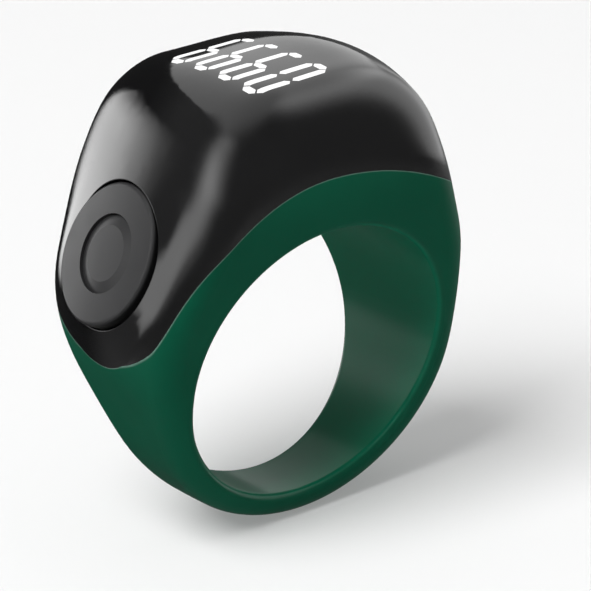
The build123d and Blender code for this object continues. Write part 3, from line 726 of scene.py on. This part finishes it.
def model_dome(size):
    """The cap of a ball, given its sheet thickness and set on its seat under the plunger."""
    ball = (size.radius ** 2 + size.height ** 2) / (2 * size.height)
    cut = ball - size.height + size.thickness
    deselect()
    bpy.ops.mesh.primitive_uv_sphere_add(segments=DOME_SEGMENTS, ring_count=DOME_RINGS, radius=ball)
    dome = bpy.context.object
    dome.name = "snap_dome"
    dome.data.name = "snap_dome"
    bpy.ops.object.mode_set(mode="EDIT")
    bpy.ops.mesh.select_all(action="SELECT")
    bpy.ops.mesh.bisect(plane_co=(0, 0, cut), plane_no=(0, 0, 1), clear_inner=True)
    bpy.ops.object.mode_set(mode="OBJECT")
    thicken(dome, "sheet", size.thickness)
    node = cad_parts["switch_dome"].data
    depth = min((vertex.co - BUTTON_FACE).dot(BUTTON_OUT) for vertex in node.vertices)
    seat = BUTTON_FACE + BUTTON_OUT * depth
    turn = Matrix((ALONG_BORE.cross(BUTTON_OUT), ALONG_BORE, BUTTON_OUT)).transposed().to_4x4()
    dome.matrix_world = Matrix.Translation(seat - BUTTON_OUT * (ball - size.height)) @ turn
    bpy.ops.object.transform_apply(location=True, rotation=True, scale=True)
    bpy.ops.object.shade_smooth_by_angle(angle=SMOOTH_ANGLE)
    return dome, seat


def thicken(piece, name, thickness):
    """Gives a skin its thickness, inwards from its outer face."""
    wall = piece.modifiers.new(name, "SOLIDIFY")
    wall.thickness = thickness
    wall.offset = -1
    bpy.ops.object.modifier_apply(modifier=wall.name)


class COUNTER_OT_power(bpy.types.Operator):
    """Finish the cell, its pad and tabs, the charging contacts and the dock magnets"""

    bl_idname = "counter.power"
    bl_label = "Power"

    def execute(self, context):
        tint = context.scene.inner_colours
        pad = moulded(
            "pad_foam", tint.foam, rough=(0.8, 0.95), grain=2500.0, clouds=900.0, depth=0.9, vary=1.6
        )
        wear("battery_pad", pad)
        wear("battery_cell", metal("cell_foil", tint.foil, rough=(0.3, 0.42), scale=500.0, depth=0.35))
        wear("battery_tabs", metal("tab_nickel", tint.steel, rough=(0.3, 0.4), scale=900.0))
        wear("charge_contacts", metal("contact_gold", tint.gold, rough=(0.15, 0.25), scale=1200.0, depth=0.1))
        wear("dock_magnets", metal("magnet_nickel", tint.nickel, rough=(0.12, 0.22), scale=1400.0, depth=0.1))
        return {"FINISHED"}


class COUNTER_OT_board(bpy.types.Operator):
    """Finish the board and what is soldered to it"""

    bl_idname = "counter.board"
    bl_label = "Board"

    def execute(self, context):
        tint = context.scene.inner_colours
        wear("main_board", board_finish(tint))
        chips = {"processor_chip": (0.42, 0.54), "memory_chip": (0.5, 0.62), "power_chip": (0.46, 0.58)}
        for node, rough in chips.items():
            wear(node, moulded(node + "_body", tint.moulding, rough, grain=15000.0, clouds=900.0, depth=0.5))
        ceramics = {
            "antenna_chip": ("antenna_ceramic", lighter(tint.ceramic, 1.5), (0.4, 0.5)),
            "board_passives": ("passive_ceramic", tint.ceramic, (0.4, 0.55)),
        }
        for node, (name, shade, rough) in ceramics.items():
            wear(node, moulded(name, shade, rough, grain=15000.0, clouds=1200.0))
        wear("crystal", metal("crystal_can", tint.steel, rough=(0.18, 0.3), scale=1500.0))
        wear("board_connector", moulded("connector_white", tint.white, rough=(0.45, 0.55)))
        return {"FINISHED"}


class COUNTER_OT_display(bpy.types.Operator):
    """Finish the display panel, its bond, tray and flexible circuit, and the bond under the cover"""

    bl_idname = "counter.display"
    bl_label = "Display"

    def execute(self, context):
        tint = context.scene.inner_colours
        panel = moulded(
            "panel_glass", tint.glass, rough=(0.06, 0.1), grain=3000.0, clouds=300.0, depth=0.02, vary=1.3
        )
        wear("display_panel", panel)
        wear("display_bond", bond_finish("panel_bond", tint.adhesive))
        wear("display_tray", moulded("tray_white", tint.white, rough=(0.45, 0.58)))
        wear("display_flex", film_finish("display_film", tint.film))
        wear("cover_bond", bond_finish("parting_bond", tint.adhesive))
        return {"FINISHED"}


class COUNTER_OT_motor(bpy.types.Operator):
    """Finish the coin motor"""

    bl_idname = "counter.motor"
    bl_label = "Motor"

    def execute(self, context):
        tint = context.scene.inner_colours
        base = metal("motor_base_steel", lighter(tint.steel, 0.9), rough=(0.3, 0.42), scale=900.0)
        bright_steel = lighter(tint.steel, 1.15)
        shaft = metal("motor_shaft_steel", bright_steel, rough=(0.12, 0.2), scale=1500.0, depth=0.1)
        magnet = moulded("magnet_ferrite", tint.ferrite, rough=(0.55, 0.7), clouds=900.0, depth=0.7)
        weight = metal("weight_tungsten", tint.tungsten, rough=(0.4, 0.52), scale=1200.0, depth=0.5)
        wear("motor_can", metal("motor_can_steel", tint.steel, rough=(0.24, 0.36), scale=900.0))
        wear("motor_base", base)
        wear("motor_shaft", shaft)
        wear("motor_magnet", magnet)
        wear("motor_rotor", moulded("rotor_moulding", tint.moulding, rough=(0.45, 0.6)))
        wear("motor_weight", weight)
        wear("motor_flex", film_finish("motor_film", tint.film))
        return {"FINISHED"}


class COUNTER_OT_digits(bpy.types.Operator):
    """Model the lit digits on the cover"""

    bl_idname = "counter.digits"
    bl_label = "Digits"

    def execute(self, context):
        size = context.scene.display_sizes
        if size.half_height <= size.stroke or size.half_width <= size.stroke:
            raise RuntimeError("the strokes are too wide for the digits")
        shown = str(size.count).zfill(size.places)
        finish = digit_finish(context.scene.shell_colours.digits)
        for index, figure in enumerate(shown):
            along = (index - (len(shown) - 1) / 2) * size.pitch - size.row_towards_front
            digit = model_digit(size, int(figure), along, f"digit_{index + 1}")
            digit.data.materials.append(finish.material)
            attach(digit, "ring")
        return {"FINISHED"}


def digit_finish(shade):
    """Lit strokes with a faint mottle, dark but for their own light."""
    finish = Finish("lit_stroke", Roughness=0.35, Emission_Strength=1.0)
    nodes = finish.nodes
    mottle = nodes.span(nodes.noise(finish.place, LIGHT_POINT_SCALE, detail=1.0), *MID_TONES)
    finish.give(
        Base_Color=nodes.blend(mottle, lighter(shade, 0.02), lighter(shade, 0.03)),
        Emission_Color=nodes.blend(mottle, lighter(shade, 0.93), shade),
    )
    return finish


def model_digit(size, figure, along, name):
    """A digit's strokes, laid on the cover and given their film thickness."""
    half_reach = size.half_height / 2
    places = {
        "top": (-size.half_height, 0, False),
        "middle": (0, 0, False),
        "bottom": (size.half_height, 0, False),
        "upper_left": (-half_reach, -size.half_width, True),
        "upper_right": (-half_reach, size.half_width, True),
        "lower_left": (half_reach, -size.half_width, True),
        "lower_right": (half_reach, size.half_width, True),
    }
    strokes = []
    for segment in SEGMENTS[figure]:
        x, y, upright = places[segment]
        half = half_reach if upright else size.half_width
        place = (x - size.row_towards_button, along + y + x * tan(size.slant))
        strokes.append(model_stroke(size, place, half, upright))
    deselect()
    for stroke in strokes:
        stroke.select_set(True)
    bpy.context.view_layer.objects.active = strokes[0]
    bpy.ops.object.join()
    digit = bpy.context.object
    digit.name = name
    digit.data.name = name
    bpy.ops.object.transform_apply(location=True, rotation=True, scale=True)
    lay_on_cover(digit, size)
    return digit


def model_stroke(size, place, half, upright):
    """One pointed stroke: a six-sided disc drawn out to its length, upright in the digit or level."""
    deselect()
    turn = size.slant - radians(90) if upright else 0
    bpy.ops.mesh.primitive_circle_add(
        vertices=6, radius=size.stroke * STROKE_POINT_SHARE, fill_type="NGON",
        location=(*place, cad_box[1].z + size.stroke), rotation=(0, 0, turn),
    )
    stroke = bpy.context.object
    bpy.ops.object.transform_apply(location=True, rotation=True, scale=True)
    centre = Vector((*place, 0))
    course = Matrix.Rotation(turn, 3, "Z") @ ALONG_BORE
    shoulder = half - size.gap * sin(radians(45)) - size.stroke / 2
    shoulder_pull = shoulder - size.stroke * STROKE_POINT_SHARE / 2
    point_pull = size.stroke * (1 - STROKE_POINT_SHARE) / 2
    past_start = size.gap / 10
    for side in (-1, 1):
        for start, pull in ((0, shoulder_pull), (shoulder, point_pull)):
            bpy.ops.object.mode_set(mode="EDIT")
            bpy.ops.mesh.select_all(action="DESELECT")
            bpy.ops.object.mode_set(mode="OBJECT")
            for vertex in stroke.data.vertices:
                vertex.select = side * course.dot(vertex.co - centre) > start + past_start
            bpy.ops.object.mode_set(mode="EDIT")
            bpy.ops.transform.translate(value=course * side * pull)
            bpy.ops.object.mode_set(mode="OBJECT")
    return stroke


def lay_on_cover(digit, size):
    """Drops the flat strokes on the cover's crown and thickens them."""
    deselect()
    digit.select_set(True)
    bpy.context.view_layer.objects.active = digit
    bpy.ops.object.mode_set(mode="EDIT")
    bpy.ops.mesh.select_all(action="SELECT")
    bpy.ops.mesh.quads_convert_to_tris()
    bpy.ops.mesh.subdivide(number_cuts=STROKE_CUTS)
    bpy.ops.object.mode_set(mode="OBJECT")
    drop = digit.modifiers.new("drop", "SHRINKWRAP")
    drop.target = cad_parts["top_cover"]
    drop.wrap_method = "PROJECT"
    drop.use_project_z = True
    drop.use_negative_direction = True
    drop.use_positive_direction = False
    drop.offset = size.lift
    bpy.ops.object.modifier_apply(modifier=drop.name)
    thicken(digit, "film", size.film)


class COUNTER_OT_studio(bpy.types.Operator):
    """Set the floor, the lights and the camera"""

    bl_idname = "counter.studio"
    bl_label = "Studio"

    def execute(self, context):
        studio = context.scene.studio_sizes
        lay_floor(studio)
        light_room(context.scene)
        hang_lights()
        set_camera(context.scene, studio)
        context.scene.view_settings.view_transform = "Standard"
        return {"FINISHED"}


def lay_floor(studio):
    """A pale floor under the ring, with a little light of its own."""
    deselect()
    bpy.ops.mesh.primitive_plane_add(size=studio.floor_side, location=(0, 0, FLOOR_HEIGHT))
    floor = bpy.context.object
    floor.name = "studio_floor"
    finish = Finish("floor_pale", Roughness=0.9, Specular_IOR_Level=0.1, Emission_Strength=studio.floor_glow)
    clouds = finish.nodes.noise(finish.place, FLOOR_CLOUD_SCALE)
    finish.give(
        Base_Color=finish.nodes.blend(clouds, studio.floor, lighter(studio.floor, 1.01)),
        Emission_Color=WHITE,
    )
    floor.data.materials.append(finish.material)
    floor.visible_glossy = False


def light_room(scene):
    """A dim room, darker behind the ring."""
    world = bpy.data.worlds.new("room")
    scene.world = world
    world.use_nodes = True
    nodes = Nodes(world.node_tree)
    room = world.node_tree.nodes["Background"]
    room.inputs["Color"].default_value = WHITE
    towards = nodes.axes(nodes.add("ShaderNodeTexCoord").outputs["Generated"])
    nodes.join(nodes.span(towards["Y"], *DARK_WALL, *ROOM_LIGHT), room.inputs["Strength"])


def hang_lights():
    """Cards that the gloss mirrors, and soft boxes that light the plastics."""
    card(
        "right_card", azimuth=103, elevation=20, size=(1.93, 2.0),
        radiance=2.1, soft=(0.24, 0.3, 0.15, 0.3),
    )
    card(
        "left_card", azimuth=-90, elevation=10, size=(1.155, 1.68),
        radiance=2.6, soft=(0.06, 0.75, 0.45, 0.34),
    )
    card(
        "upper_card", azimuth=-105, elevation=41, size=(1.68, 0.77),
        radiance=1.7, soft=(0.3, 0.58, 0.22, 0.3),
    )
    card(
        "flank_card", azimuth=-26, elevation=7, size=(0.808, 0.81),
        radiance=4.2, soft=(0.03, 0.626, 0.35, 0.39),
    )
    card(
        "far_card", azimuth=58, elevation=-2, size=(0.5, 0.35),
        radiance=0.9, soft=(0.3, 0.2, 0.3, 0.3),
    )
    roof_card(
        "roof_card", along=(-1.1, 14.0), across=(-1.3, 0.8125),
        radiance=1.05, soft=(0.07, 0.02, 0.25, 0.01),
    )
    roof_card(
        "far_roof_card", along=(2.0, 14.0), across=(-3.0, 0.8125),
        radiance=1.5, soft=(0.25, 0.02, 0.95, 0.01),
    )
    near_card(
        "bore_card", place_mm=(-62, 100, -20), target_mm=(9.5, 3, -3), side_mm=30,
        radiance=0.9, soft=(0.3, 0.3, 0.3, 0.3),
    )
    soft_box("key_box", towards=(-0.55, -0.12, 0.83), side=0.9, power=29.0)
    soft_box("fill_box", towards=(0.0, 0.0, 1.0), side=2.2, power=4.5)


def card(name, azimuth, elevation, size, radiance, soft):
    """A reflector that faces the ring; azimuth 0 is behind the ring and 90 to its right."""
    side = radians(azimuth)
    rise = radians(elevation)
    place = Vector((sin(side) * cos(rise), cos(side) * cos(rise), sin(rise))) * CARD_DISTANCE
    reflector(name, place, facing(place, ORIGIN), size, radiance, soft)


def roof_card(name, along, across, radiance, soft):
    """A level reflector over the ring, between two pairs of edges."""
    size = (along[1] - along[0], across[1] - across[0])
    middle = Vector((sum(along) / 2, sum(across) / 2, ROOF_HEIGHT))
    place = Matrix.Rotation(ROOF_TURN, 4, "Z") @ middle
    reflector(name, place, (0, 0, ROOF_TURN), size, radiance, soft)


def near_card(name, place_mm, target_mm, side_mm, radiance, soft):
    """A small square reflector near the ring."""
    place = Vector(place_mm) * MM
    turn = facing(place, Vector(target_mm) * MM)
    reflector(name, place, turn, (side_mm * MM, side_mm * MM), radiance, soft)


def soft_box(name, towards, side, power):
    """A square soft light that doesn't show in gloss."""
    place = Vector(towards).normalized() * BOX_DISTANCE
    light = area_light(name, place, facing(place, ORIGIN), (side, side), power)
    light.visible_glossy = False


def reflector(name, place, turn, size, radiance, soft):
    """A card that only shows in gloss, as bright at any size."""
    light = area_light(name, place, turn, size, radiance * pi * size[0] * size[1])
    light.visible_diffuse = False
    soften(light.data, soft)


def facing(place, target):
    """Turn of a light that looks from a place at a target."""
    return (target - place).to_track_quat("-Z", "Y").to_euler()


def area_light(name, place, turn, size, power):
    """A rectangular light that the camera doesn't see."""
    data = bpy.data.lights.new(name, "AREA")
    data.shape = "RECTANGLE"
    data.size = size[0]
    data.size_y = size[1]
    data.energy = power
    light = bpy.data.objects.new(name, data)
    bpy.context.scene.collection.objects.link(light)
    light.location = place
    light.rotation_euler = turn
    light.visible_camera = False
    return light


def soften(data, soft):
    """Fades a card towards its four edges, each by its own share of the card."""
    data.use_nodes = True
    nodes = Nodes(data.node_tree)
    shader = data.node_tree.nodes["Emission"]
    place = nodes.axes(nodes.add("ShaderNodeNewGeometry").outputs["Parametric"])
    strength = 1.0
    for key, low, high in (("X", soft[0], soft[1]), ("Y", soft[2], soft[3])):
        fade_in = nodes.span(place[key], 0.0, low)
        fade_out = nodes.span(place[key], 1.0 - high, 1.0, to_low=1.0, to_high=0.0)
        strength = nodes.maths("MULTIPLY", strength, nodes.maths("MULTIPLY", fade_in, fade_out))
    nodes.join(strength, shader.inputs["Strength"])


def set_camera(scene, studio):
    """The camera at the photographed angle, without shift."""
    back = Vector((
        sin(studio.azimuth) * cos(studio.elevation),
        -cos(studio.azimuth) * cos(studio.elevation),
        sin(studio.elevation),
    ))
    level = Vector((cos(studio.azimuth), sin(studio.azimuth), 0))
    rise = back.cross(level)
    right = cos(studio.roll) * level + sin(studio.roll) * rise
    up = cos(studio.roll) * rise - sin(studio.roll) * level
    eye = back * studio.distance
    aim = right * studio.aim_right + up * studio.aim_up
    look = (eye - aim).normalized()
    across = up.cross(look).normalized()
    upright = look.cross(across)
    data = bpy.data.cameras.new("camera")
    data.lens = studio.lens
    data.sensor_width = SENSOR_WIDTH
    data.clip_start = CLIP_START
    camera = bpy.data.objects.new("camera", data)
    scene.collection.objects.link(camera)
    turn = Matrix((across, upright, look)).transposed().to_4x4()
    camera.matrix_world = Matrix.Translation(eye) @ turn
    scene.camera = camera


class COUNTER_PT_ring(bpy.types.Panel):
    """Lists the steps that finish the ring"""

    bl_label = "Counting ring"
    bl_space_type = "VIEW_3D"
    bl_region_type = "UI"
    bl_category = "Counting ring"

    def draw(self, context):
        for step in STEPS:
            self.layout.operator(step.bl_idname)
        for group in GROUPS:
            for key in GROUPS[group].__annotations__:
                self.layout.prop(getattr(context.scene, group), key)


STEPS = (
    COUNTER_OT_band,
    COUNTER_OT_cover,
    COUNTER_OT_button,
    COUNTER_OT_switch,
    COUNTER_OT_power,
    COUNTER_OT_board,
    COUNTER_OT_display,
    COUNTER_OT_motor,
    COUNTER_OT_digits,
    COUNTER_OT_studio,
)
GROUPS = {
    "display_sizes": DisplaySizes,
    "dome_sizes": DomeSizes,
    "shell_colours": ShellColours,
    "inner_colours": InnerColours,
    "studio_sizes": StudioSizes,
}


def register():
    """Adds the sizes and colours, the operators and the panel."""
    for group in GROUPS.values():
        bpy.utils.register_class(group)
    for name, group in GROUPS.items():
        setattr(bpy.types.Scene, name, bpy.props.PointerProperty(type=group))
    for kind in (*STEPS, COUNTER_PT_ring):
        bpy.utils.register_class(kind)


def unregister():
    """Takes away what register added."""
    for kind in reversed((*STEPS, COUNTER_PT_ring)):
        bpy.utils.unregister_class(kind)
    for name, group in GROUPS.items():
        delattr(bpy.types.Scene, name)
        bpy.utils.unregister_class(group)


def main():
    """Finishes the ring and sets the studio."""
    register()
    deselect()
    bpy.ops.counter.band()
    bpy.ops.counter.cover()
    bpy.ops.counter.button()
    bpy.ops.counter.switch()
    bpy.ops.counter.power()
    bpy.ops.counter.board()
    bpy.ops.counter.display()
    bpy.ops.counter.motor()
    bpy.ops.counter.digits()
    bpy.ops.counter.studio()


if __name__ == "__main__":
    main()
